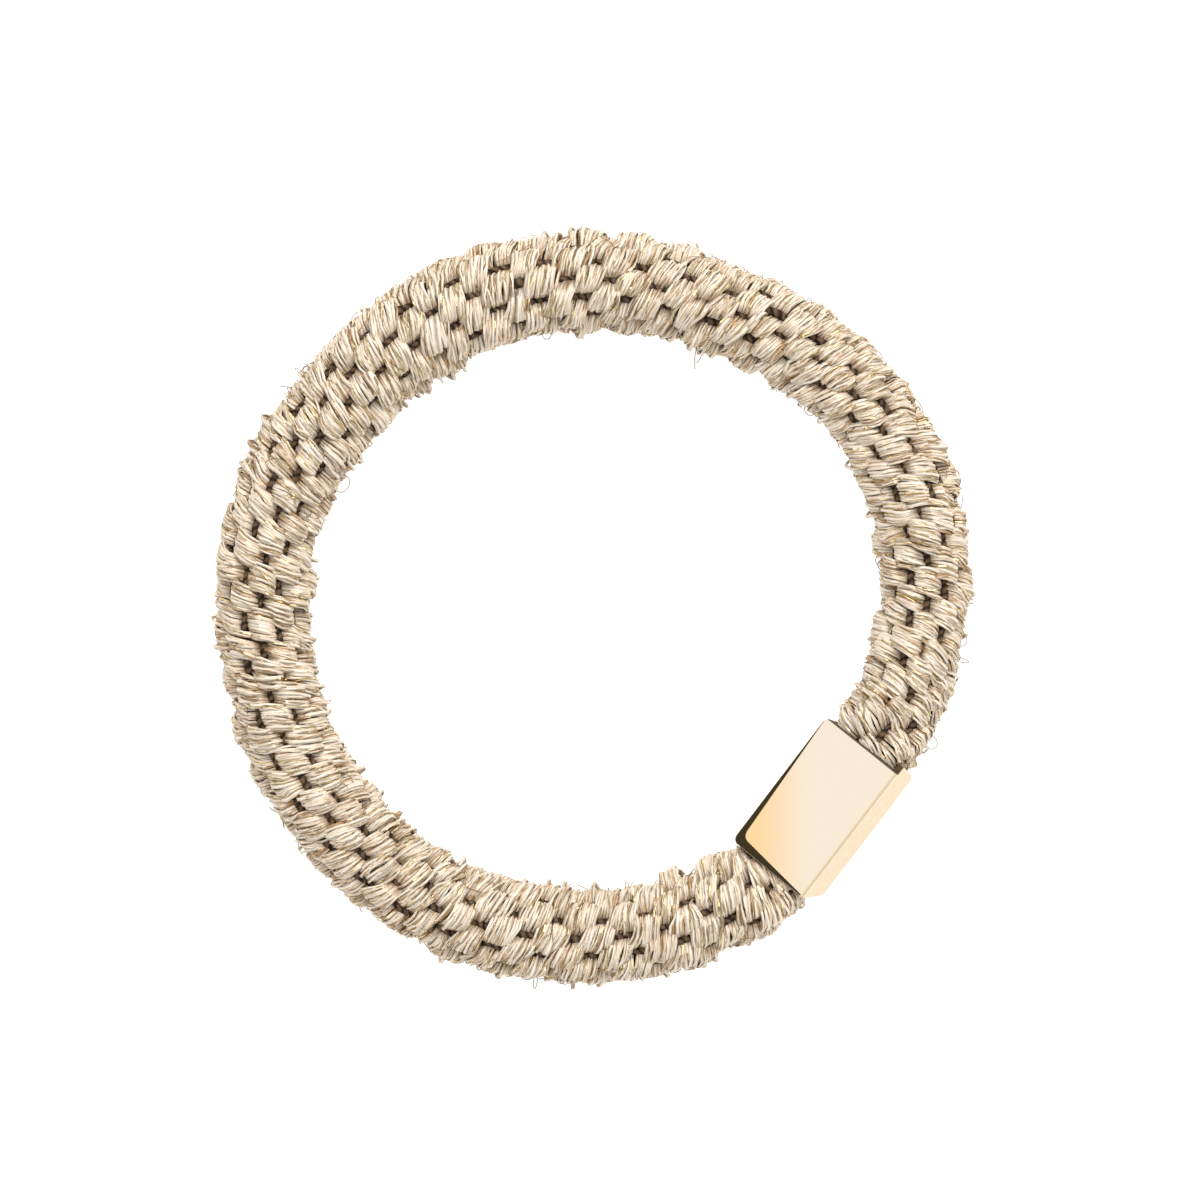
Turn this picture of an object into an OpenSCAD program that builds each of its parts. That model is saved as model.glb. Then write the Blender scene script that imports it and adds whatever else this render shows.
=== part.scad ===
// A hair tie lying flat: a woven band round an elastic core, its two ends held in a metal clasp.
// +Z is up and the origin is at the bottom centre of the whole. The clasp is at the front, -Y,
// with its length along X, and the band runs anticlockwise from the clasp's raised end to its low end.

/* [Ring] */
// Mean radius of the band's centreline
ring_radius = 26.2; // [25:0.1:29]
// Mean thickness of the band
band_thickness = 6.8; // [6.6:0.05:7.2]
// Diameter of the elastic core where it is free
core_diameter = 3.4; // [2.6:0.1:3.8]
// Sections between two stations of the band
sections = 4; // [3:1:5]
// Sides of the woven cover's section
cover_sides = 16; // [12:2:18]
// Sides of the elastic core's section
core_sides = 12; // [10:2:14]

/* [Clasp] */
// Length of the clasp along the band
clasp_length = 12.4; // [11:0.1:13]
// Width of the clasp's top plate
clasp_width = 7.4; // [7.2:0.05:7.8]
// Height of the clasp
clasp_height = 4.9; // [4.6:0.1:5.2]
// Thickness of the clasp's sheet metal
sheet = 0.4; // [0.3:0.05:0.5]
// Outer radius of the sheet's three bends
bend_radius = 0.25; // [0.2:0.05:0.4]
// Radius of the top plate's two free corners
corner_radius = 0.55; // [0.4:0.05:0.8]
// Lean of the clasp towards the ring's centre, which shows its outer side from above
clasp_roll = 18.5; // [12:0.5:20]
// Rise of the clasp from its low end to its raised end
clasp_pitch = 6; // [2:1:8]
// How far the clasp's centre lies inside the mean circle
clasp_inset = 1.9; // [1.5:0.05:2.2]
// How far the clasp's centre lies off the ring's middle, towards the low end
clasp_shift = 1.95; // [1:0.05:2.5]
// How far the outer side reaches past the top plate at the raised end
tab_reach = 0.6; // [0.4:0.05:0.8]
// How far the tab's lower corner reaches past it
tab_foot = 0.2; // [0.1:0.05:0.4]
// Radius of the tab's two corners
tab_radius = 0.3; // [0.2:0.05:0.4]
// How much shorter the underside is than the top plate, at the low end
low_cut = 0.5; // [0.2:0.05:0.8]
// Radius of the two lower corners, seen from the side
end_radius = 0.8; // [0.5:0.05:1]

/* [Fit] */
// Gap between two pieces
gap = 0.1; // [0.08:0.01:0.15]
// Gap between the band's two ends, inside the clasp
ends_gap = 0.4; // [0.3:0.1:1]
// Gap under the clasp's lowest corner
floor_gap = 0.05; // [0:0.05:0.3]

/* [Hidden] */
$fn = 48;

// The free band: angle round the ring, radius less the mean, thickness less the mean, lift off the floor
ANGLE = 0;
RADIUS = 1;
THICKNESS = 2;
LIFT = 3;
BAND = [
    [288, -0.80, -0.35, 1.10],
    [296, -0.40, -0.35, 0.60],
    [306,  0.05, -0.25, 0.15],
    [321,  0.60, -0.05, 0],
    [341,  0.60, -0.20, 0],
    [357,  0.15, -0.25, 0],
    [372, -0.40, -0.30, 0],
    [387, -0.55, -0.10, 0],
    [402, -0.45,  0.30, 0],
    [420, -0.35,  0.75, 0],
    [440, -0.40,  0.45, 0],
    [455, -0.40,  0.40, 0],
    [475,  0.05,  0.00, 0],
    [495,  0.05,  0.00, 0],
    [515,  0.30, -0.15, 0],
    [535,  0.35,  0.00, 0],
    [547,  0.55, -0.10, 0],
    [562,  0.25,  0.30, 0],
    [580,  0.10,  0.05, 0],
    [593,  0.00,  0.00, 0.02],
    [601, -0.25, -0.15, 0.16],
];

// The clasp stands on its lowest corner, less the floor gap
clasp_z = floor_gap + clasp_length / 2 * sin(clasp_pitch)
    + (clasp_width / 2 * sin(clasp_roll) + clasp_height / 2 * cos(clasp_roll)) * cos(clasp_pitch);
clasp_centre = [-clasp_shift, clasp_inset - ring_radius, clasp_z];
clasp_axis = [cos(clasp_pitch), 0, sin(clasp_pitch)];

// Half sizes of the band where the clasp squeezes it, and of the core, which keeps its area there
squeezed_wide = clasp_width / 2 - sheet - 2 * gap;
squeezed_high = clasp_height / 2 - sheet - gap;
core_free = core_diameter / 2;
core_high = 0.62 * core_free;
core_wide = core_free * core_free / core_high;
// Squareness of a section: 2 is an ellipse, and more is nearer a rectangle
round_section = 2;
square_section = 5;
// How far the tab's root overlaps the outer side, and the steps of a rounded corner
tab_root = 1;
arc_steps = 8;
// How far inside the clasp the band's even stretch ends, and how far outside it leaves the clasp's axis
lead = 1;
mouth = 0.5;

// What a station of the band holds, after its place in X, Y and Z
WIDE = 3;
HIGH = 4;
CORE_WIDE = 5;
CORE_HIGH = 6;
LEAN = 7;
SQUARE = 8;

function clasp_station(along) =
    concat(clasp_centre + along * clasp_axis,
        [squeezed_wide, squeezed_high, core_wide, core_high, clasp_roll, square_section]);

function free_station(row) =
    let (r = ring_radius + row[RADIUS], half = (band_thickness + row[THICKNESS]) / 2)
    [r * cos(row[ANGLE]), r * sin(row[ANGLE]), half + row[LIFT],
        half, half, core_free, core_free, 0, round_section];

half_clasp = clasp_length / 2;
inside = half_clasp - lead;
brink = half_clasp + mouth;
stations = concat(
    [clasp_station(ends_gap / 2), clasp_station(inside), clasp_station(brink)],
    [for (row = BAND) free_station(row)],
    [clasp_station(-brink), clasp_station(-inside), clasp_station(-ends_gap / 2)]
);
last = len(stations) - 1;

function place(s) = [s[0], s[1], s[2]];
function reach(i) = norm(place(stations[i + 1]) - place(stations[i]));

// Change of a station per millimetre along the band, from the stations on its two sides
function slope(i) =
    i == 0 ? (stations[1] - stations[0]) / reach(0)
    : i == last ? (stations[last] - stations[last - 1]) / reach(last - 1)
    : let (before = reach(i - 1), after = reach(i))
        ((stations[i + 1] - stations[i]) * before / after
            + (stations[i] - stations[i - 1]) * after / before) / (before + after);

// A cubic between stations i and i + 1 that keeps both slopes, at t from 0 to 1
function between(i, t) =
    let (t2 = t * t, t3 = t2 * t)
    (2 * t3 - 3 * t2 + 1) * stations[i] + (t3 - 2 * t2 + t) * reach(i) * slope(i)
        + (3 * t2 - 2 * t3) * stations[i + 1] + (t3 - t2) * reach(i) * slope(i + 1);

band = [for (i = [0:last - 1], k = [0:sections - 1]) between(i, k / sections), stations[last]];

function unit(v) = v / norm(v);
function heading(k) =
    unit(place(band[min(k + 1, len(band) - 1)]) - place(band[max(k - 1, 0)]));

// Signed power, for a rounded rectangle's section
function bulge(x, p) = sign(x) * pow(abs(x), p);

// Points of one section of the band at ring k: half width, half height and number of sides
function section(k, wide, high, sides) =
    let (
        s = band[k],
        along = heading(k),
        inward = unit(cross([0, 0, 1], along)),
        up = cross(along, inward),
        across = inward * cos(s[LEAN]) - up * sin(s[LEAN]),
        top = inward * sin(s[LEAN]) + up * cos(s[LEAN]),
        p = 2 / max(s[SQUARE], round_section)
    )
    [for (j = [0:sides - 1]) let (a = (j + 0.5) * 360 / sides)
        place(s) + across * wide * bulge(cos(a), p) + top * high * bulge(sin(a), p)];

core_points = [for (k = [0:len(band) - 1],
    p = section(k, band[k][CORE_WIDE], band[k][CORE_HIGH], core_sides)) p];
bore_points = [for (k = [0:len(band) - 1],
    p = section(k, band[k][CORE_WIDE] + 2 * gap, band[k][CORE_HIGH] + 2 * gap, cover_sides)) p];
cover_points = [for (k = [0:len(band) - 1],
    p = section(k, band[k][WIDE], band[k][HIGH], cover_sides)) p];

// Triangles of a tube's wall, whose sections have n points and start at point number first
function wall(n, first, outward) =
    [for (k = [0:len(band) - 2], j = [0:n - 1])
        let (a = first + k * n + j, b = first + k * n + (j + 1) % n)
        each outward ? [[a, a + n, b], [b, a + n, b + n]] : [[a, b, a + n], [b, b + n, a + n]]];

// The whole is moved so that the origin is at its bottom centre
cover_x = [for (p = cover_points) p[0]];
cover_y = [for (p = cover_points) p[1]];
cover_z = [for (p = cover_points) p[2]];
clasp_front = clasp_centre[1] - clasp_width / 2 * cos(clasp_roll) - clasp_height / 2 * sin(clasp_roll)
    + bend_radius * (cos(clasp_roll) + sin(clasp_roll) - 1);
origin = [(min(cover_x) + max(cover_x)) / 2, (clasp_front + max(cover_y)) / 2, min(cover_z)];

module woven_cover() {
    n = cover_sides;
    bore = len(cover_points);
    end = len(band) - 1;
    // The two end faces, each between the outside and the bore
    start_face = [for (j = [0:n - 1]) let (a = j, b = (j + 1) % n)
        each [[a, b, bore + a], [b, bore + b, bore + a]]];
    end_face = [for (j = [0:n - 1]) let (a = end * n + j, b = end * n + (j + 1) % n)
        each [[a, bore + a, b], [b, bore + a, bore + b]]];
    color("wheat")
        translate(-origin)
            polyhedron(
                points = concat(cover_points, bore_points),
                faces = concat(wall(n, 0, true), wall(n, bore, false), start_face, end_face)
            );
}

module elastic_core() {
    n = core_sides;
    end = len(band) - 1;
    start_face = [[for (j = [0:n - 1]) j]];
    end_face = [[for (j = [n - 1:-1:0]) end * n + j]];
    color("dimgray")
        translate(-origin)
            polyhedron(points = core_points, faces = concat(wall(n, 0, true), start_face, end_face));
}

// Section of the folded sheet, with X across the clasp towards the ring's centre and Y towards its top.
// The sheet starts at the top plate's inner edge and goes round to just under that edge.
module folded_section() {
    w = clasp_width;
    h = clasp_height;
    r = bend_radius;
    difference() {
        union() {
            translate([-w / 2 + r, -h / 2]) square([w - 2 * r, h]);
            translate([-w / 2, -h / 2 + r]) square([w, h - 2 * r]);
            translate([w / 2 - r, h / 2 - r]) square(r);
            for (corner = [[-1, 1], [-1, -1], [1, -1]])
                translate([corner[0] * (w / 2 - r), corner[1] * (h / 2 - r)]) circle(r);
        }
        square([w - 2 * sheet, h - 2 * sheet], center = true);
    }
}

// Outline of the clasp from above: the inner side's two corners are rounded
module plan_outline() {
    l = clasp_length;
    w = clasp_width;
    r = corner_radius;
    translate([-l / 2, -w / 2]) square([l, w - r]);
    translate([-l / 2 + r, -w / 2]) square([l - 2 * r, w]);
    for (side = [-1, 1])
        translate([side * (l / 2 - r), w / 2 - r]) circle(r);
}

// Points of an arc, from angle a to angle b
function arc(centre, r, a, b) =
    [for (k = [0:arc_steps]) let (t = a + (b - a) * k / arc_steps) centre + r * [cos(t), sin(t)]];

// Outline of the clasp from its outer side: the low end slants and both lower corners are rounded
module side_outline() {
    l = clasp_length;
    h = clasp_height;
    r = end_radius;
    polygon(concat(
        [[-l / 2, h / 2], [-l / 2, h / 2 - bend_radius]],
        arc([-l / 2 + low_cut + r, -h / 2 + r], r, 180, 270),
        arc([l / 2 - r, -h / 2 + r], r, 270, 360),
        [[l / 2, h / 2]]
    ));
}

module clasp() {
    l = clasp_length;
    w = clasp_width;
    h = clasp_height;
    r = tab_radius;
    tab_top = h / 2 - bend_radius;
    tab_low = -h / 2 + end_radius;
    color("khaki")
        translate(clasp_centre - origin)
            rotate([0, -clasp_pitch, 0])
                rotate([-clasp_roll, 0, 0]) {
                    intersection() {
                        rotate([90, 0, 90]) linear_extrude(l, center = true) folded_section();
                        linear_extrude(h + sheet, center = true) plan_outline();
                        rotate([90, 0, 0]) linear_extrude(w + sheet, center = true) side_outline();
                    }
                    // The outer side's tab past the raised end, lower than the bend, with a slanted edge
                    translate([l / 2, sheet - w / 2, 0])
                        rotate([90, 0, 0])
                            linear_extrude(sheet)
                                hull() {
                                    translate([-tab_root, tab_low]) square([tab_radius, tab_top - tab_low]);
                                    translate([tab_reach - r, tab_top - r]) circle(r);
                                    translate([tab_foot - r, tab_low + r]) circle(r);
                                }
                }
}

woven_cover();
elastic_core();
clasp();
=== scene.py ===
import math

import bpy
import numpy as np
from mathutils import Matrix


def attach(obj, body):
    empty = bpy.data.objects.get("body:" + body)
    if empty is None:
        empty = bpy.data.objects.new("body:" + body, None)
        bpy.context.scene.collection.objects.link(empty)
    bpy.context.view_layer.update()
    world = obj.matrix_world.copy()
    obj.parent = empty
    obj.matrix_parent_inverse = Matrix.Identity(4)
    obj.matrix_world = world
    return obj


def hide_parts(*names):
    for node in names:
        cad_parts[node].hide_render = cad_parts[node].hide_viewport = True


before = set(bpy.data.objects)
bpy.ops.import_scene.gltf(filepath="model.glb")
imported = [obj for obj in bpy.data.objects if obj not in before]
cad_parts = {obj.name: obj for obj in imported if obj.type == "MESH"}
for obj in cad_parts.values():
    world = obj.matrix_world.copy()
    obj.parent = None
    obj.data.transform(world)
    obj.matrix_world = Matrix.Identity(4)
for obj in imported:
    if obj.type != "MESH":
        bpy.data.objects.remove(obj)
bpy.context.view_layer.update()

# The hair tie is looked at from straight above, as it lies flat on a white table. The table and the
# light are plain and pale, and one soft box hangs over the ring so that the clasp has something to mirror.

MM = 0.001
view_turn = math.radians(-53)
view_target = np.array([0.870, -0.602, 3.4])
view_width = 95.28
view_lens, sensor_width = 150, 36
view_distance = view_width * view_lens / sensor_width

camera_data = bpy.data.cameras.new("camera")
camera_data.sensor_width = sensor_width
camera_data.lens = view_lens
camera_data.clip_start = 0.01
camera = bpy.data.objects.new("camera", camera_data)
camera.location = (view_target + [0, 0, view_distance]) * MM
camera.rotation_euler = (0, 0, view_turn)
bpy.context.scene.collection.objects.link(camera)
bpy.context.scene.camera = camera
bpy.context.scene.view_settings.view_transform = "Standard"


def new_material(name):
    """A named material, its nodes, its links and its principled shader."""
    material = bpy.data.materials.new(name)
    material.use_nodes = True
    nodes = material.node_tree.nodes
    return material, nodes, material.node_tree.links, nodes["Principled BSDF"]


def flat_piece(name, corners, material):
    """One flat face through the corners, in millimetres, anticlockwise from its front."""
    mesh = bpy.data.meshes.new(name)
    mesh.from_pydata([tuple(np.array(c) * MM) for c in corners], [], [tuple(range(len(corners)))])
    mesh.materials.append(material)
    piece = bpy.data.objects.new(name, mesh)
    bpy.context.scene.collection.objects.link(piece)
    return piece


table_paint, nodes, links, shader = new_material("table_white")
shader.inputs["Base Color"].default_value = (0.36, 0.36, 0.36, 1)
shader.inputs["Roughness"].default_value = 0.9
shader.inputs["Specular IOR Level"].default_value = 0.1
shader.inputs["Emission Color"].default_value = (1, 1, 1, 1)
shader.inputs["Emission Strength"].default_value = 0.92
half_table = 900
table = flat_piece("table", [(-half_table, -half_table, 0), (half_table, -half_table, 0),
                             (half_table, half_table, 0), (-half_table, half_table, 0)], table_paint)

world = bpy.data.worlds.new("studio")
world.use_nodes = True
world.node_tree.nodes["Background"].inputs["Color"].default_value = (1.0, 1.0, 1.0, 1)
world.node_tree.nodes["Background"].inputs["Strength"].default_value = 0.88
bpy.context.scene.world = world

lamp_data = bpy.data.lights.new("soft_lamp", "AREA")
lamp_data.shape = "RECTANGLE"
lamp_data.size = lamp_data.size_y = 0.46
lamp_data.energy = 2.65
lamp = bpy.data.objects.new("soft_lamp", lamp_data)
# It hangs up on the right and is aimed at the middle of the ring
lamp.location = (0.28, 0.10, 0.45)
lamp.rotation_euler = (math.radians(-10.7), math.radians(31.9), 0)
bpy.context.scene.collection.objects.link(lamp)

# The band is a soft round cord bent into a ring. Its two ends lie in the clasp, where they are squeezed
# flat, and it comes down from the clasp to the table on both sides. All its strands follow this course.

ring_radius = 26.2
band_thickness = 6.8
clasp_length, clasp_width, clasp_height, sheet = 12.4, 7.4, 4.9, 0.4
clasp_roll, clasp_pitch = math.radians(18.5), math.radians(6)
clasp_centre = np.array([-1.7314, -24.6967, 4.1276])
ring_centre = np.array([0.2186, -0.3967, -0.0487])
# Angle round the ring, radius less the mean, thickness less the mean, lift off the table
band_rows = np.array([
    [288, -0.80, -0.35, 1.10], [296, -0.40, -0.35, 0.60], [306, 0.05, -0.25, 0.15],
    [321, 0.60, -0.05, 0], [341, 0.60, -0.20, 0], [357, 0.15, -0.25, 0], [372, -0.40, -0.30, 0],
    [387, -0.55, -0.10, 0], [402, -0.45, 0.30, 0], [420, -0.35, 0.75, 0], [440, -0.40, 0.45, 0],
    [455, -0.40, 0.40, 0], [475, 0.05, 0, 0], [495, 0.05, 0, 0], [515, 0.30, -0.15, 0],
    [535, 0.35, 0, 0], [547, 0.55, -0.10, 0], [562, 0.25, 0.30, 0], [580, 0.10, 0.05, 0],
    [593, 0, 0, 0.02], [601, -0.25, -0.15, 0.16],
])
clasp_axis = np.array([math.cos(clasp_pitch), 0, math.sin(clasp_pitch)])
play_beside, play_above = 0.2, 0.1
squeezed_wide = clasp_width / 2 - sheet - play_beside
squeezed_high = clasp_height / 2 - sheet - play_above
squeezed_squareness, free_squareness = 5, 2
# The gap between the band's ends, and how far inside and past its mouths the clasp holds the band straight
end_gap, held_inside, held_past = 0.4, 1.0, 0.5


def clasp_station(along):
    """The band's place, half sizes, lean and squareness inside the clasp."""
    return np.concatenate([clasp_centre + along * clasp_axis,
                           [squeezed_wide, squeezed_high, clasp_roll, squeezed_squareness]])


def free_stations(rows):
    """The same for the free band: x = r cos a, y = r sin a, z = half the thickness + the lift."""
    angle, radius = np.radians(rows[:, 0]), ring_radius + rows[:, 1]
    half = (band_thickness + rows[:, 2]) / 2
    place = np.stack([radius * np.cos(angle), radius * np.sin(angle), half + rows[:, 3]], 1) + ring_centre
    return np.column_stack([place, half, half, 0 * half, free_squareness + 0 * half])


held = [end_gap / 2, clasp_length / 2 - held_inside, clasp_length / 2 + held_past]
stations = np.vstack([clasp_station(along) for along in held] + [free_stations(band_rows)]
                     + [clasp_station(-along) for along in reversed(held)])


def smooth_course(stations, steps):
    """Cubics through the stations, each with the slope of the parabola through its two neighbours."""
    reach = np.linalg.norm(np.diff(stations[:, :3], axis=0), axis=1)[:, None]
    rise = np.diff(stations, axis=0) / reach
    middle = (rise[1:] * reach[:-1] + rise[:-1] * reach[1:]) / (reach[1:] + reach[:-1])
    slope = np.vstack([rise[:1], middle, rise[-1:]])
    t = np.linspace(0, 1, steps, endpoint=False)[None, :, None]
    a, b = stations[:-1, None], stations[1:, None]
    da, db = (slope[:-1] * reach)[:, None], (slope[1:] * reach)[:, None]
    curve = (2 * t**3 - 3 * t**2 + 1) * a + (t**3 - 2 * t**2 + t) * da \
        + (3 * t**2 - 2 * t**3) * b + (t**3 - t**2) * db
    return np.vstack([curve.reshape(-1, stations.shape[1]), stations[-1:]])


def unit(vectors):
    """Each vector divided by its length."""
    return vectors / np.linalg.norm(vectors, axis=-1, keepdims=True)


steps_between, course_points, blur_reach = 40, 3001, 16
course = smooth_course(stations, steps_between)
travel = np.concatenate([[0], np.cumsum(np.linalg.norm(np.diff(course[:, :3], axis=0), axis=1))])
even = np.linspace(0, travel[-1], course_points)
course = np.stack([np.interp(even, travel, column) for column in course.T], 1)
blur = np.exp(-np.linspace(-2, 2, 2 * blur_reach + 1) ** 2)
padded = np.pad(course, ((blur_reach, blur_reach), (0, 0)), "reflect", reflect_type="odd")
course = np.stack([np.convolve(column, blur / blur.sum(), "valid") for column in padded.T], 1)
band_length = even[-1]
ahead = unit(np.gradient(course[:, :3], axis=0))
inward = unit(np.cross([0, 0, 1], ahead))
upward = np.cross(ahead, inward)
lean = course[:, 5:6]
band_in = inward * np.cos(lean) - upward * np.sin(lean)
band_up = inward * np.sin(lean) + upward * np.cos(lean)


def along_band(table, u):
    """The columns of a table kept along the band, read at u millimetres from its start."""
    return np.stack([np.interp(u, even, column) for column in table.T], -1)


def on_band(u, angle, depth):
    """Points and outward directions on the band: u from its start, at an angle round it (0 away from the
    ring's centre, a quarter turn up) and at a depth under its outside, on a rounded rectangle
    x = wide * size * cos, y = high * size * sin, where size = (|cos|^s + |sin|^s)^(-1/s) and s is the
    section's squareness."""
    at = along_band(course, u)
    square = at[..., 6]
    size = (np.abs(np.cos(angle)) ** square + np.abs(np.sin(angle)) ** square) ** (-1 / square)
    across, height = size * np.cos(angle), size * np.sin(angle)
    out, up = -along_band(band_in, u), along_band(band_up, u)
    place = at[..., :3] + out * ((at[..., 3] - depth) * across)[..., None] \
        + up * ((at[..., 4] - depth) * height)[..., None]
    return place, unit(out * across[..., None] + up * height[..., None])


def strands(name, place, outward, wide, high, sides, turn=0.0, tint=None, smooth=True):
    """A piece of closed tubes: place is strands x rings x 3, in millimetres, and each ring is the ellipse
    side * wide * cos a + top * high * sin a, turned by turn, with side and top square to the strand."""
    count, rings = place.shape[:2]
    forward = unit(np.gradient(place, axis=1))
    side = unit(np.cross(forward, outward))
    top = np.cross(side, forward)
    wide = np.broadcast_to(wide, (count, rings))[..., None, None]
    high = np.broadcast_to(high, (count, rings))[..., None, None]
    turned = np.broadcast_to(turn, (count, rings))[..., None, None]
    local = 2 * np.pi * np.arange(sides) / sides
    x = wide * np.cos(local)[:, None]
    y = high * np.sin(local)[:, None]
    c, s = np.cos(turned), np.sin(turned)
    points = place[:, :, None] + side[:, :, None] * (x * c - y * s) + top[:, :, None] * (x * s + y * c)
    number = np.arange(count * rings * sides).reshape(count, rings, sides)
    here, beside = number, np.roll(number, -1, axis=2)
    quads = np.stack([here[:, :-1], here[:, 1:], beside[:, 1:], beside[:, :-1]], -1).reshape(-1, 4)
    caps = np.concatenate([number[:, 0], number[:, -1, ::-1]])
    corners = np.concatenate([quads.ravel(), caps.ravel()])
    starts = np.concatenate([np.arange(len(quads)) * 4, len(quads) * 4 + np.arange(len(caps)) * sides])
    mesh = bpy.data.meshes.new(name)
    mesh.vertices.add(points.size // 3)
    mesh.vertices.foreach_set("co", (points * MM).astype(np.float32).ravel())
    mesh.loops.add(len(corners))
    mesh.loops.foreach_set("vertex_index", corners.astype(np.int32))
    mesh.polygons.add(len(starts))
    mesh.polygons.foreach_set("loop_start", starts.astype(np.int32))
    mesh.polygons.foreach_set("use_smooth", np.full(len(starts), smooth))
    mesh.update(calc_edges=True)
    # The map runs along the strand in millimetres and once round it, and each strand starts further on
    map_step = 37.0
    steps = np.linalg.norm(np.diff(place, axis=1), axis=2)
    run = np.concatenate([np.zeros((count, 1)), np.cumsum(steps, 1)], 1)
    run = run + map_step * np.arange(count)[:, None]
    u = np.broadcast_to(run[..., None], (count, rings, sides))
    v = np.broadcast_to(np.arange(sides) / sides, (count, rings, sides))
    corner_u = np.stack([u[:, :-1], u[:, 1:], u[:, 1:], u[:, :-1]], -1).ravel()
    corner_v = np.stack([v[:, :-1], v[:, 1:], v[:, 1:] + 1 / sides, v[:, :-1] + 1 / sides], -1).ravel()
    flat = np.zeros((len(corners), 2), np.float32)
    flat[:len(corner_u)] = np.stack([corner_u, corner_v], 1)
    mesh.uv_layers.new(name="strand").data.foreach_set("uv", flat.ravel())
    if tint is not None:
        shade = np.broadcast_to(tint[..., None], (count, rings, sides)).astype(np.float32).ravel()
        mesh.attributes.new("tint", "FLOAT", "POINT").data.foreach_set("value", shade)
    piece = bpy.data.objects.new(name, mesh)
    bpy.context.scene.collection.objects.link(piece)
    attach(piece, "root")
    return piece


# The lengthwise threads are covered elastic, twelve of them round the core. The yarn goes over and under
# them, and they show as dark grey brown ribs in the holes between the stitches.

row_count = 12
row_drift, row_start = 0.35, 0.25
elastic_depth, elastic_radius = 0.80, 0.31
thread_rings = 330


def drift(u):
    """How far the rows creep round the band by u, in radians: drift * sin(2 pi u / length) + start."""
    return row_drift * np.sin(2 * np.pi * u / band_length) + row_start


def wander(random, count, at, size, stretch=1.0):
    """Smooth random shifts of a given size: new values at each whole at / stretch, eased between."""
    at = at / stretch
    knots = random.normal(0, size, (count, int(np.ceil(at.max())) + 3))
    low = np.floor(at).astype(int)
    ease = (1 - np.cos(np.pi * (at - low))) / 2
    rows = np.arange(count)[:, None]
    return knots[rows, low] * (1 - ease) + knots[rows, low + 1] * ease


def colours_by(nodes, links, factor, stops):
    """A ramp from a factor to colours, by its stops in rising order: position, red, green, blue."""
    ramp = nodes.new("ShaderNodeValToRGB")
    elements = ramp.color_ramp.elements
    elements[0].position, elements[1].position = stops[0][0], stops[-1][0]
    for stop in stops[1:-1]:
        elements.new(stop[0])
    for element, stop in zip(elements, stops):
        element.color = (*stop[1:], 1)
    links.new(factor, ramp.inputs["Fac"])
    return ramp.outputs["Color"]


elastic_paint, nodes, links, shader = new_material("covered_elastic")
thread_map = nodes.new("ShaderNodeUVMap")
thread_map.uv_map = "strand"
winding = nodes.new("ShaderNodeTexWave")
winding.bands_direction = "DIAGONAL"
winding.inputs["Scale"].default_value = 0.9
winding.inputs["Distortion"].default_value = 2.5
winding.inputs["Detail"].default_value = 2
winding.inputs["Detail Scale"].default_value = 3
links.new(thread_map.outputs["UV"], winding.inputs["Vector"])
browns = colours_by(nodes, links, winding.outputs["Fac"],
                    [(0, 0.014, 0.0075, 0.004), (1, 0.15, 0.092, 0.053)])
links.new(browns, shader.inputs["Base Color"])
shader.inputs["Roughness"].default_value = 0.7
shader.inputs["Specular IOR Level"].default_value = 0.15

random = np.random.default_rng(seed=50)
u = np.linspace(0, band_length, thread_rings)[None].repeat(row_count, 0)
row = np.arange(row_count)[:, None]
sway = wander(random, row_count, u, size=0.03, stretch=1.1)
depth = elastic_depth + wander(random, row_count, u, size=0.08, stretch=1.0)
place, outward = on_band(u, 2 * np.pi * row / row_count + drift(u) + sway, depth)
thick = elastic_radius * (1 + wander(random, row_count, u, size=0.20, stretch=0.7))
lengthwise = strands("lengthwise_threads", place, outward, thick, thick, sides=6)
lengthwise.data.materials.append(elastic_paint)
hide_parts("woven_cover")

# The inner layer is the yarn's inner turns, which lie close together under the lengthwise threads. It is
# one plain tube of yarn round the core, and it is only seen as the ground of the deepest holes. Its brown,
# darker than the satin yarn, is painted shade.

lining_depth, lining_inset = 1.45, 0.3
lining_rings, lining_sides = 240, 14
lining_paint, nodes, links, shader = new_material("inner_yarn")
lining_map = nodes.new("ShaderNodeUVMap")
lining_map.uv_map = "strand"
turns = nodes.new("ShaderNodeTexWave")
turns.inputs["Scale"].default_value = 0.8
turns.inputs["Distortion"].default_value = 1.5
turns.inputs["Detail"].default_value = 2
links.new(lining_map.outputs["UV"], turns.inputs["Vector"])
# Painted shade: these browns are darker than the satin yarn of the inner turns
browns = colours_by(nodes, links, turns.outputs["Fac"], [(0, 0.26, 0.155, 0.075), (1, 0.50, 0.34, 0.19)])
links.new(browns, shader.inputs["Base Color"])
shader.inputs["Roughness"].default_value = 0.8
u = np.linspace(lining_inset, band_length - lining_inset, lining_rings)[None]
at = along_band(course, u)
lining = strands("inner_layer", at[..., :3], along_band(band_up, u),
                 at[..., 3] - lining_depth, at[..., 4] - lining_depth, lining_sides)
lining.data.materials.append(lining_paint)
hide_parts("woven_cover")

# The core is one rod of elastic inside the cover, whose two ends lie in the clasp. It is made of the same
# covered elastic as the lengthwise threads.

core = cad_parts["elastic_core"]
core.data.materials.clear()
core.data.materials.append(elastic_paint)

# The cover is four bundles of satin yarn, wound side by side round the lengthwise threads, over one and
# under the next, so that its stitches lie like bricks. Each bundle is two dozen fine yarns that shift.

lead = 7.3
bundles = 4
yarns = 24
yarn_flat, yarn_thin = 0.160, 0.110
bundle_half, bundle_spread = 1.02, 0.05
stitch_top, stitch_deep, stitch_dome, stitch_inside = -0.22, 1.15, 0.20, 0.12
stitch_power, stitch_tightness, tightness_range = 3.4, 1.08, (-0.3, 1.6)
swell_range = (-0.3, 0.14)
rings_per_stitch, ring_bunching = 9, 0.5
first_crossing = 20
course_samples = 20001


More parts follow.
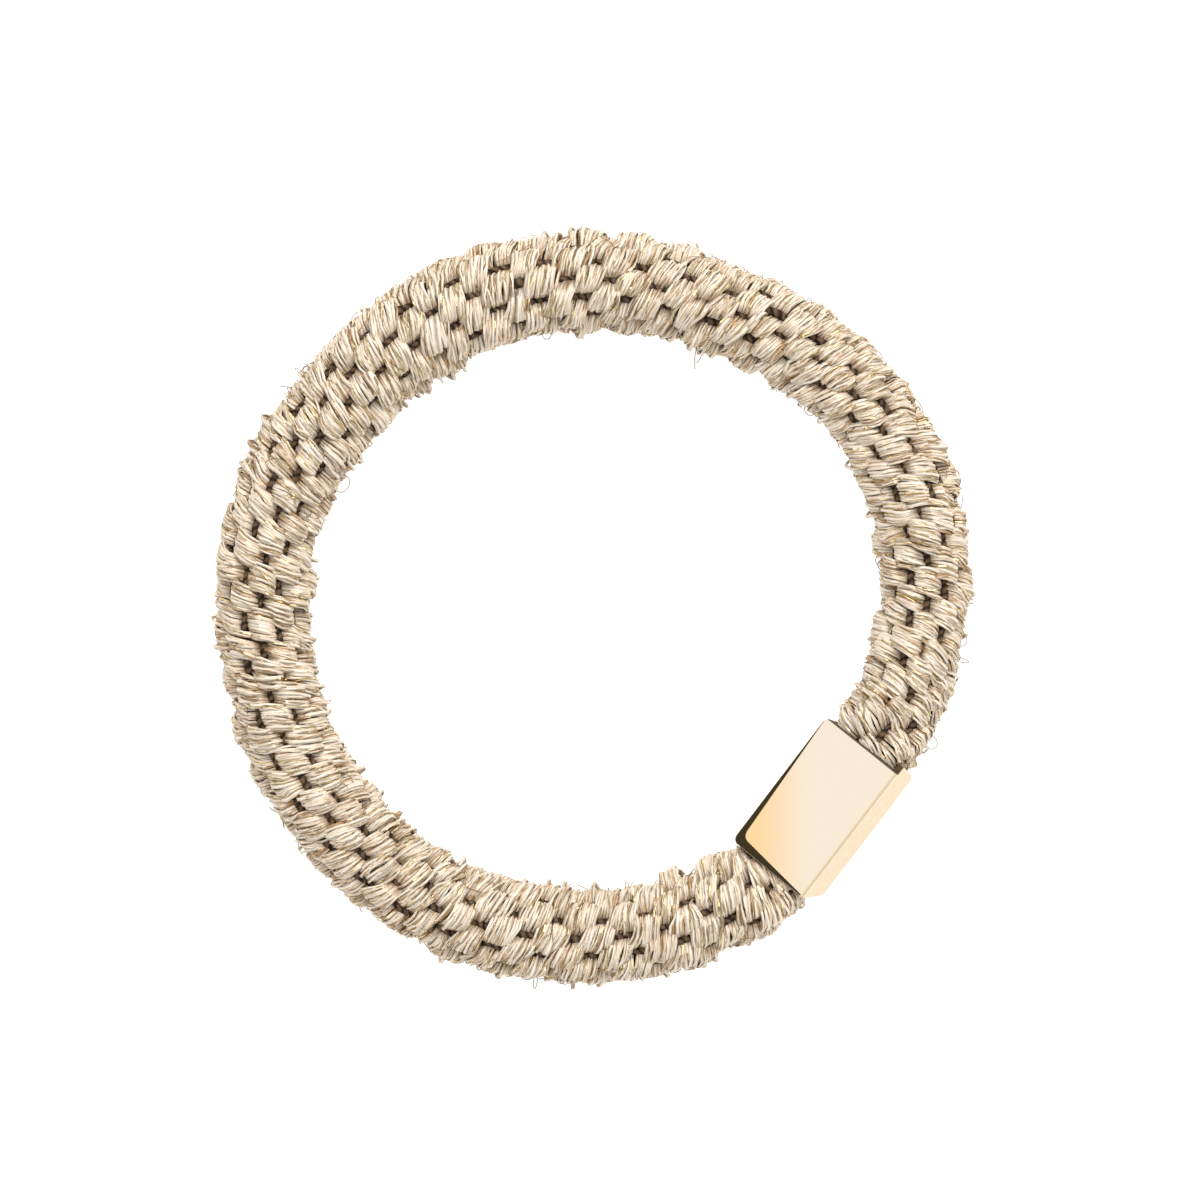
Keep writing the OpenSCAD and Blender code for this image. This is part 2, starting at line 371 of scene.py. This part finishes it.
def bundle_course(bundle):
    """A bundle's turns: u along the band, the angle round it, the crossing number, which is whole at
    each lengthwise thread, and the phase pi (crossing + bundle), whose cosine is 1 over a thread and
    -1 under it. The rings lie closer where the bundle dives, at the crossings
    t + bunching / pi sin(pi (t + bundle))."""
    fine = np.linspace(0, band_length, course_samples)
    turned = row_count * (fine / lead - bundle / bundles - drift(fine) / (2 * np.pi)) + first_crossing
    t = np.arange(turned[0], turned[-1], 2 / rings_per_stitch)
    crossing = t + ring_bunching / np.pi * np.sin(np.pi * (t + bundle))
    crossing = crossing[(crossing > turned[0]) & (crossing < turned[-1])][None]
    u = np.interp(crossing, turned, fine)
    return u, 2 * np.pi * (u / lead - bundle / bundles), crossing, np.pi * (crossing + bundle)


# How deep the strands lie in the clasp, how far inside its mouths they start to rise, and how slowly
tuck_depth, tuck_lead, tuck_length = 0.24, 0.4, 1.2
table_gap = 0.01


def tucked(u, depth):
    """Strands inside the clasp lie at least the tuck's depth under the band's outside, and rise past its
    mouths: tuck + (depth - tuck) * rise for the shallower ones."""
    rise = np.clip((np.minimum(u, band_length - u) - clasp_length / 2 + tuck_lead) / tuck_length, 0, 1)
    return np.where(depth < tuck_depth, tuck_depth + (depth - tuck_depth) * rise, depth)


def above_table(place, radius):
    """Strands that would reach under the table lie on it instead: z is at least the radius and a gap."""
    place[..., 2] = np.maximum(place[..., 2], radius + table_gap)
    return place


yarn_paint, nodes, links, shader = new_material("satin_yarn")
strand_map = nodes.new("ShaderNodeUVMap")
strand_map.uv_map = "strand"
tint_node = nodes.new("ShaderNodeAttribute")
tint_node.attribute_name = "tint"
stretch_map = nodes.new("ShaderNodeMapping")
stretch_map.inputs["Scale"].default_value = (0.9, 7.0, 1.0)
stretch_map.inputs["Rotation"].default_value = (0, 0, 0.12)
links.new(strand_map.outputs["UV"], stretch_map.inputs["Vector"])
filaments = nodes.new("ShaderNodeTexNoise")
filaments.inputs["Scale"].default_value = 1.0
filaments.inputs["Detail"].default_value = 3
links.new(stretch_map.outputs["Vector"], filaments.inputs["Vector"])
# The filament streaks are partly the yarn's tone and partly painted shade: dark gold brown lines between
# filaments
filament_shade_contrast = 2.3
tone = nodes.new("ShaderNodeMath")
tone.operation = "MULTIPLY_ADD"
tone.inputs[1].default_value = filament_shade_contrast
links.new(filaments.outputs["Fac"], tone.inputs[0])
links.new(tint_node.outputs["Fac"], tone.inputs[2])
beiges = colours_by(nodes, links, tone.outputs["Value"],
                    [(0.16, 0.38, 0.220, 0.095), (0.6, 0.82, 0.685, 0.53), (1.0, 0.845, 0.757, 0.634)])
links.new(beiges, shader.inputs["Base Color"])
bump = nodes.new("ShaderNodeBump")
bump.inputs["Strength"].default_value = 0.9
bump.inputs["Distance"].default_value = 0.09 * MM
links.new(filaments.outputs["Fac"], bump.inputs["Height"])
links.new(bump.outputs["Normal"], shader.inputs["Normal"])
shader.inputs["Roughness"].default_value = 0.46
shader.inputs["Metallic"].default_value = 0.2
shader.inputs["Specular IOR Level"].default_value = 0.3
shader.inputs["Sheen Weight"].default_value = 0.22
shader.inputs["Sheen Roughness"].default_value = 0.4
shader.inputs["Sheen Tint"].default_value = (1.0, 0.85, 0.66, 1)


def stitches(bundle):
    """A bundle's course and the shape of its stitches: how deep it lies, as a share,
    ((1 - cos phase) / 2)^((power + sin phase) * tightness), so that it sinks steeply and rises gently
    and some holes nearly close; half its width, (half + spread * cos phase) * swell; and how far it
    strays along the band and outward. Inside the ring the stitches are pushed together and stand out."""
    random = np.random.default_rng(seed=400 + bundle)
    u, angle, crossing, phase = bundle_course(bundle)
    closing = wander(random, 1, crossing, size=0.5, stretch=1.4)
    tightness = stitch_tightness + np.clip(closing, *tightness_range)
    dive = ((1 - np.cos(phase)) / 2) ** ((stitch_power + np.sin(phase)) * tightness)
    swell = 1 + np.clip(wander(random, 1, crossing, size=0.11, stretch=0.9), *swell_range)
    half_wide = (bundle_half + bundle_spread * np.cos(phase)) * swell
    stray = wander(random, 1, crossing, size=0.10)
    inside = np.clip(-np.cos(angle), 0, 1)
    lift = wander(random, 1, crossing, size=0.19) + stitch_inside * inside * (1 - dive)
    return u + stray, angle, crossing, dive, half_wide, lift


def laid(stitching, slot, below):
    """Places and outward directions of strands at slots -1 to 1 across a bundle, a little below its top:
    top + (deep - top) * dive + dome * slot^2 * (1 - dive) - lift + below under the band's outside."""
    u, angle, crossing, dive, half_wide, lift = stitching
    reach = np.clip(u + slot * half_wide, 0, band_length)
    dome = stitch_dome * slot**2 * (1 - dive)
    depth = stitch_top + (stitch_deep - stitch_top) * dive + dome - lift + below
    return on_band(reach, angle + 0 * reach, tucked(reach, depth))


# The yarns lie in two layers. The lower is narrower, its yarns broader and browner with painted shade
upper_yarns = 15
lower_half, lower_depth, lower_broad, lower_painted_shade = 0.88, 0.15, 1.3, 0.28
# The yarn's mean tint and variety, and the painted shade that browns it where it goes under
yarn_tint, yarn_variety, under_painted_shade = -0.38, 0.13, 0.35
loop_height, loop_from, loop_most = 0.5, 1.25, 1.3

for bundle in range(bundles):
    random = np.random.default_rng(seed=110 + bundle)
    stitching = stitches(bundle)
    crossing, dive = stitching[2:4]
    upper = np.linspace(-1, 1, upper_yarns)
    lower = np.linspace(-lower_half, lower_half, yarns - upper_yarns)
    slot = np.concatenate([upper, lower])[:, None]
    is_lower = np.repeat([False, True], [upper_yarns, yarns - upper_yarns])[:, None]
    slot = slot + wander(random, yarns, crossing, size=0.09, stretch=0.9)
    slot = slot + wander(random, yarns, crossing, size=0.13, stretch=2.5)
    # Here and there one yarn of a stitch stands out as a loop
    looping = wander(random, yarns, crossing, size=1.0, stretch=0.8)
    looping = loop_height * np.clip(looping - loop_from, 0, loop_most)
    below = lower_depth * is_lower + wander(random, yarns, crossing, size=0.07, stretch=1.3) - looping
    place, outward = laid(stitching, slot, below)
    tint = yarn_tint + wander(random, yarns, crossing, size=0.12, stretch=1.7)
    tint = tint + random.normal(0, yarn_variety, (yarns, 1))
    # Painted shade: the yarn is browner where it goes under and where it lies in the lower layer
    tint = tint - under_painted_shade * dive - lower_painted_shade * is_lower
    turn = wander(random, yarns, crossing, size=0.5, stretch=1.2)
    swell = 1 + wander(random, yarns, crossing, size=0.14, stretch=0.8)
    flat = yarn_flat * np.where(is_lower, lower_broad, 1.0) * swell
    piece = strands(f"yarn_bundle_{bundle + 1}", above_table(place, flat), outward, flat,
                    yarn_thin * swell, sides=3, turn=turn, tint=tint)
    piece.data.materials.append(yarn_paint)
    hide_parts("woven_cover")

# Flat gold filaments run with the yarn, a few in each bundle. They are strips of metallised film
# that twist as they go, so that they glint at some places and look dark at others, and their gold
# is darker in random spots.

filament_count = 5
film_flat, film_thin = 0.07, 0.02
film_above, film_clear, film_swing = 0.11, 0.1, 1.05
filament_paint, nodes, links, shader = new_material("gold_film")
film_map = nodes.new("ShaderNodeUVMap")
film_map.uv_map = "strand"
gold_spots = nodes.new("ShaderNodeTexNoise")
gold_spots.inputs["Scale"].default_value = 1.6
gold_spots.inputs["Detail"].default_value = 2
links.new(film_map.outputs["UV"], gold_spots.inputs["Vector"])
golds = colours_by(nodes, links, gold_spots.outputs["Fac"], [(0.4, 0.40, 0.28, 0.12), (0.6, 0.78, 0.62, 0.34)])
links.new(golds, shader.inputs["Base Color"])
shader.inputs["Metallic"].default_value = 1
shader.inputs["Roughness"].default_value = 0.22
for bundle in range(bundles):
    random = np.random.default_rng(seed=200 + bundle)
    stitching = stitches(bundle)
    crossing = stitching[2]
    slot = random.uniform(-1, 1, (filament_count, 1))
    slot = slot + wander(random, filament_count, crossing, size=0.25, stretch=1.5)
    # They swing from one side of the bundle to the other, a little past its edges
    slot = film_swing * np.sin(np.pi / 2 * slot)
    below = wander(random, filament_count, crossing, size=0.08, stretch=0.8) - film_above
    place, outward = laid(stitching, slot, below)
    turn = wander(random, filament_count, crossing, size=1.6, stretch=0.7)
    piece = strands(f"gold_filaments_{bundle + 1}", above_table(place, film_clear), outward,
                    film_flat, film_thin, sides=3, turn=turn, smooth=False)
    piece.data.materials.append(filament_paint)
    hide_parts("woven_cover")

# Loose fibres stand off the band: fine ends and small loops of the yarn, mostly well under a millimetre
# high. Two longer ends stand into the ring, and one loop stands out beside the clasp.

fibre_count = 400
fibre_points = 15
fibre_radius, fibre_root, fibre_tint = 0.040, 0.12, -1.10
bare_ends, loop_share = 8, 0.45
random = np.random.default_rng(seed=300)
# Where each starts along the band, its angle round it, its height and how far it leans along the band
fibres = np.stack([random.uniform(bare_ends, band_length - bare_ends, fibre_count),
                   np.pi * random.integers(0, 2, fibre_count) + random.normal(0, 0.5, fibre_count),
                   random.gamma(shape=2.5, scale=0.13, size=fibre_count),
                   random.normal(loc=0, scale=0.8, size=fibre_count)], 1)
looped = random.random((fibre_count, 1)) < loop_share
# The longest five are placed one by one
placed = [(50.15, np.pi, 2.1, -0.6), (49.3, np.pi, 1.6, 0.3), (8.4, 0, 1.05, 0.9), (60.3, 0, 0.9, 0.4),
          (109.4, np.pi, 0.9, 0.3)]
fibres[:len(placed)] = placed
looped[:len(placed), 0] = [False, False, True, False, True]
start, around, height, leaning = fibres.T[..., None]
# A loop goes out and back again, and an end bends over as it rises
s = np.linspace(0, 1, fibre_points)[None]
rise = np.where(looped, np.sin(np.pi * s), s)
run = np.where(looped, s - np.sin(2 * np.pi * s) / 5, s**2)
depth = fibre_root - (height + fibre_root) * rise
crooked = wander(random, fibre_count, 3 * s, size=0.03) * s
place, outward = on_band(start + leaning * run, around + crooked, depth)
loose = strands("loose_fibres", above_table(place, fibre_radius), outward, fibre_radius, fibre_radius,
                sides=3, tint=np.broadcast_to(fibre_tint, (fibre_count, fibre_points)))
loose.data.materials.append(yarn_paint)
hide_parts("woven_cover")

# The clasp is one strip of thin gold plated sheet, folded into a flat sleeve and pressed on the band's
# ends. Its top is polished to a mirror, and its sides and underside are satin and slightly pebbled.
# The mirror shows a soft box over the ring, whose straight edges and dark frame make its dark border.

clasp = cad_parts["clasp"]
plate_up = np.array([-math.cos(clasp_roll) * math.sin(clasp_pitch), math.sin(clasp_roll),
                     math.cos(clasp_roll) * math.cos(clasp_pitch)])
plate_middle = clasp_centre + clasp_height / 2 * plate_up
plate_level = float(plate_middle @ plate_up)
satin_roughness, mirror_roughness, pebble_strength = 0.34, 0.002, 0.4
# How far under the plate's top each finish and the cut edge's painted shade start and end their change,
# and how far inside the raised mouth
satin_edge, polish_edge = np.array([0.14, 0.03]), np.array([0.08, 0.02])
pebble_edge, cut_edge = np.array([0.40, 0.22]), np.array([0.50, 0.42])
mouth_edge = np.array([0.17, 0.11])


def place_along(nodes, links, direction):
    """A point's place along a direction: the dot product of its object coordinates and the direction."""
    place_node = nodes.new("ShaderNodeTexCoord")
    product = nodes.new("ShaderNodeVectorMath")
    product.operation = "DOT_PRODUCT"
    product.inputs[1].default_value = direction
    links.new(place_node.outputs["Object"], product.inputs[0])
    return product.outputs["Value"]


def turning(nodes, links, value, ends, low=0.0, high=1.0):
    """A number that turns evenly from low to high between a value's two ends, in millimetres:
    low + (high - low) * (value - start) / (end - start)."""
    share = nodes.new("ShaderNodeMapRange")
    share.inputs["From Min"].default_value = ends[0] * MM
    share.inputs["From Max"].default_value = ends[1] * MM
    share.inputs["To Min"].default_value = low
    share.inputs["To Max"].default_value = high
    links.new(value, share.inputs["Value"])
    return share.outputs["Result"]


def mixed(nodes, links, factor, low, high):
    """A colour that turns from low to high with a factor. Low is a colour or another node's colour."""
    mix = nodes.new("ShaderNodeMix")
    mix.data_type = "RGBA"
    links.new(factor, mix.inputs["Factor"])
    if isinstance(low, tuple):
        mix.inputs["A"].default_value = (*low, 1)
    else:
        links.new(low, mix.inputs["A"])
    mix.inputs["B"].default_value = (*high, 1)
    return mix.outputs["Result"]


gold_paint, nodes, links, shader = new_material("gold_plating")
level = place_along(nodes, links, plate_up)
roughness = turning(nodes, links, level, plate_level - satin_edge, satin_roughness, mirror_roughness)
links.new(roughness, shader.inputs["Roughness"])
place_node = nodes.new("ShaderNodeTexCoord")
pebbles = nodes.new("ShaderNodeTexNoise")
pebbles.inputs["Scale"].default_value = 2600
pebbles.inputs["Detail"].default_value = 2
links.new(place_node.outputs["Object"], pebbles.inputs["Vector"])
rounding = nodes.new("ShaderNodeBevel")
rounding.inputs["Radius"].default_value = 0.06 * MM
pebble_bump = nodes.new("ShaderNodeBump")
pebble_bump.inputs["Distance"].default_value = 0.04 * MM
pebbled = turning(nodes, links, level, plate_level - pebble_edge, pebble_strength, 0.0)
links.new(pebbled, pebble_bump.inputs["Strength"])
links.new(pebbles.outputs["Fac"], pebble_bump.inputs["Height"])
links.new(rounding.outputs["Normal"], pebble_bump.inputs["Normal"])
links.new(pebble_bump.outputs["Normal"], shader.inputs["Normal"])
streaks = colours_by(nodes, links, pebbles.outputs["Fac"],
                     [(0.3, 0.75, 0.57, 0.41), (0.7, 0.83, 0.66, 0.50)])
polished = turning(nodes, links, level, plate_level - polish_edge)
gold = mixed(nodes, links, polished, streaks, (1.0, 0.79, 0.50))
# Painted shade: the top plate's cut edge at the raised mouth is darker
mouth = float(clasp_centre @ clasp_axis) + clasp_length / 2
cut_end = turning(nodes, links, place_along(nodes, links, clasp_axis), mouth - mouth_edge)
both = nodes.new("ShaderNodeMath")
both.operation = "MULTIPLY"
links.new(cut_end, both.inputs[0])
links.new(turning(nodes, links, level, plate_level - cut_edge), both.inputs[1])
gold_with_edge_shade = mixed(nodes, links, both.outputs["Value"], gold, (0.13, 0.09, 0.045))
links.new(gold_with_edge_shade, shader.inputs["Base Color"])
shader.inputs["Specular Tint"].default_value = (0.92, 0.85, 0.78, 1)
shader.inputs["Metallic"].default_value = 1
clasp.data.materials.clear()
clasp.data.materials.append(gold_paint)
# The lamp is flagged off the clasp, so that its polished top mirrors only the soft box and the room
flagged = bpy.data.collections.new("flagged_from_lamp")
flagged.objects.link(clasp)
flagged.collection_objects[0].light_linking.link_state = "EXCLUDE"
lamp.light_linking.receiver_collection = flagged

# Points of the camera's frame at which the plate shows the soft box, in pixels: where its light starts and
# ends its turn from warm to pale, its round corner, its other corners, and the sides of its dark frame
frame_pixels = 1200
fade_start, fade_end = (758, 812), (808, 812)
corner_middle, corner_radius = np.array([753.5, 836]), 8
edge_top, edge_bottom, far_bottom, far_top = (1050, 398), (1100, 1192), (1600, 1100), (1600, 500)
frame_left, frame_right, frame_top, frame_bottom = 640, 900, 700, 1000
card_distance, frame_behind = 250, 4


def mirrored(point, distance):
    """Where the camera's ray through a point of its frame goes, after the plate reflects it:
    ray - 2 (ray . up) up from the point where it meets the plate, to a plane at that distance."""
    right = np.array([math.cos(view_turn), math.sin(view_turn), 0])
    up = np.array([-math.sin(view_turn), math.cos(view_turn), 0])
    eye = view_target + [0, 0, view_distance]
    aside, above = point[0] - frame_pixels / 2, frame_pixels / 2 - point[1]
    ray = (aside * right + above * up) * view_width / frame_pixels - [0, 0, view_distance]
    meets = eye + ray * ((plate_middle - eye) @ plate_up) / (ray @ plate_up)
    bounce = unit(ray - 2 * (ray @ plate_up) * plate_up)
    straight = -np.array([0, 0, 1]) + 2 * plate_up[2] * plate_up
    return meets + bounce * (distance + (plate_middle - meets) @ straight) / (bounce @ straight)


light_paint, nodes, links, shader = new_material("soft_box_light")
nodes.remove(shader)
fade_ends = np.array([mirrored(fade_start, card_distance), mirrored(fade_end, card_distance)])
fade_way = unit(fade_ends[1] - fade_ends[0])
fade = turning(nodes, links, place_along(nodes, links, fade_way), fade_ends @ fade_way)
glow = nodes.new("ShaderNodeEmission")
glow.inputs["Strength"].default_value = 1.0
links.new(mixed(nodes, links, fade, (1.0, 0.90, 0.74), (0.96, 1.05, 1.35)), glow.inputs["Color"])
links.new(glow.outputs["Emission"], nodes["Material Output"].inputs["Surface"])
corner_turns = np.radians([215, 190, 165, 140])
corner = corner_middle + corner_radius * np.stack([np.cos(corner_turns), np.sin(corner_turns)], 1)
lit_face = [edge_top, *corner, edge_bottom, far_bottom, far_top]
soft_box = flat_piece("soft_box", [mirrored(point, card_distance) for point in lit_face], light_paint)

frame_paint, nodes, links, shader = new_material("soft_box_frame")
shader.inputs["Base Color"].default_value = (0.01, 0.01, 0.01, 1)
shader.inputs["Specular IOR Level"].default_value = 0
shader.inputs["Emission Color"].default_value = (0.040, 0.036, 0.026, 1)
shader.inputs["Emission Strength"].default_value = 1
frame_corners = [(frame_left, frame_top), (frame_left, frame_bottom),
                 (frame_right, frame_bottom), (frame_right, frame_top)]
soft_box_frame = flat_piece("soft_box_frame", [mirrored(point, card_distance + frame_behind)
                                               for point in frame_corners], frame_paint)
for card in (soft_box, soft_box_frame):
    card.visible_camera = False
